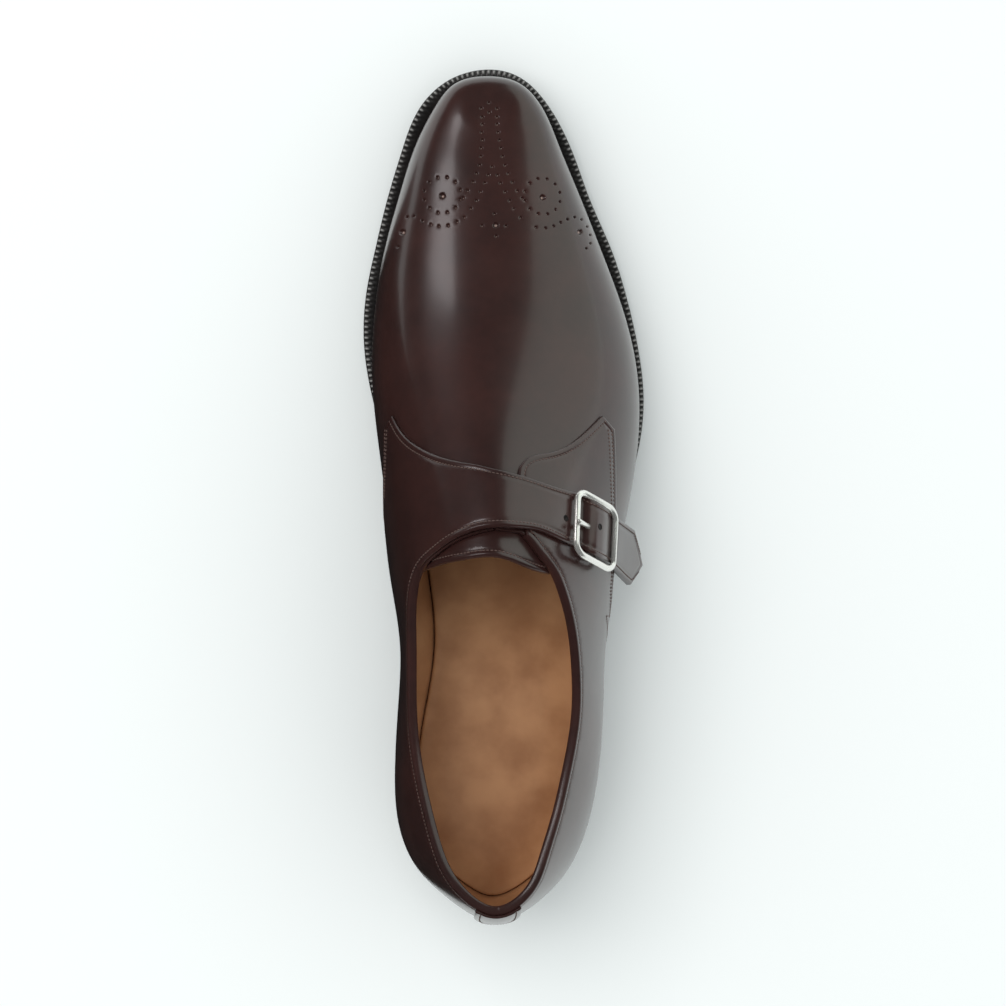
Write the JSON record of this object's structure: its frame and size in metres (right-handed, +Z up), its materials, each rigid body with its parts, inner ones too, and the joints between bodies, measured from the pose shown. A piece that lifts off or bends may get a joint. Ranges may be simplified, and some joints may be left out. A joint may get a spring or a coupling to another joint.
{
  "type": "monk strap shoe",
  "caption": "Men's dress shoe with one strap across the instep and a side buckle, chisel toe, stacked heel; right foot.",
  "frame": {"origin": "on the floor under the middle of the shoe", "axes": "+Y from heel to toe, +X to the lateral side, +Z up"},
  "size_m": [0.1026, 0.3062, 0.1021],
  "materials": {
    "calf": "polished dark brown",
    "buckle_metal": "polished nickel",
    "insole_leather": "natural tan",
    "sole_edge": "waxed black edge",
    "heel_rubber": "matt"
  },
  "bodies": {
    "root": {"upper": "calf", "medial_quarter_strap": "calf", "lateral_quarter": "calf", "tongue": "calf", "heel_tab": "calf", "buckle_frame": "buckle_metal", "buckle_prong": "buckle_metal", "buckle_tab": "calf", "insole": "insole_leather", "welt": "sole_edge", "outsole": "sole_edge", "heel_lift_1": "sole_edge", "heel_lift_2": "sole_edge", "heel_lift_3": "sole_edge", "top_piece": "heel_rubber"}
  },
  "joints": []
}
